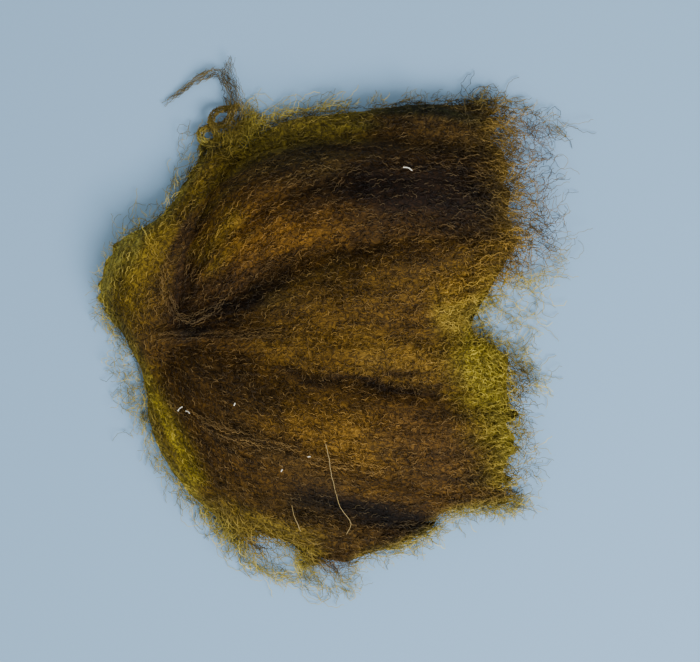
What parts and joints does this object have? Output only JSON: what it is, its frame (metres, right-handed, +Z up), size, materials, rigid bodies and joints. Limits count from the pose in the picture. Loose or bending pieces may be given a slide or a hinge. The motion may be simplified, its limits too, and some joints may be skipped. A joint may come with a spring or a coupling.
{
  "type": "raw wool fleece",
  "caption": "Loose handful of raw dyed wool fleece, teased open into a fan of locks that lies flat, with a twisted curl at one edge.",
  "frame": {"origin": "middle of the fleece's outline, on the surface that it lies on", "axes": "+Z up from that surface, +X from the knot of root ends to the tips, +Y towards the side with the curl"},
  "size_m": [0.1325, 0.1472, 0.0279],
  "materials": {
    "fold_lock": "olive-yellow and brown raw wool, matte",
    "top_lock": "green-black raw wool, matte",
    "upper_lock": "dark brown raw wool, matte",
    "amber_lock": "amber-brown raw wool, matte",
    "centre_lock": "mid brown to amber raw wool, matte",
    "middle_lock": "amber to yellow-olive raw wool, matte",
    "dun_lock": "mid brown raw wool with an amber patch, matte",
    "streaked_lock": "brown raw wool with paler streaks, matte",
    "dark_lock": "brown-black raw wool, matte",
    "veil_lock": "thin yellow-olive raw wool, matte",
    "wisp_lock": "thin pale olive raw wool, matte",
    "curl": "olive-brown raw wool, twisted, matte"
  },
  "bodies": {
    "root": {"fold_lock": "fold_lock", "top_lock": "top_lock", "upper_lock": "upper_lock", "amber_lock": "amber_lock", "centre_lock": "centre_lock", "middle_lock": "middle_lock", "dun_lock": "dun_lock", "streaked_lock": "streaked_lock", "dark_lock": "dark_lock", "veil_lock": "veil_lock", "wisp_lock": "wisp_lock", "curl": "curl"}
  },
  "joints": []
}
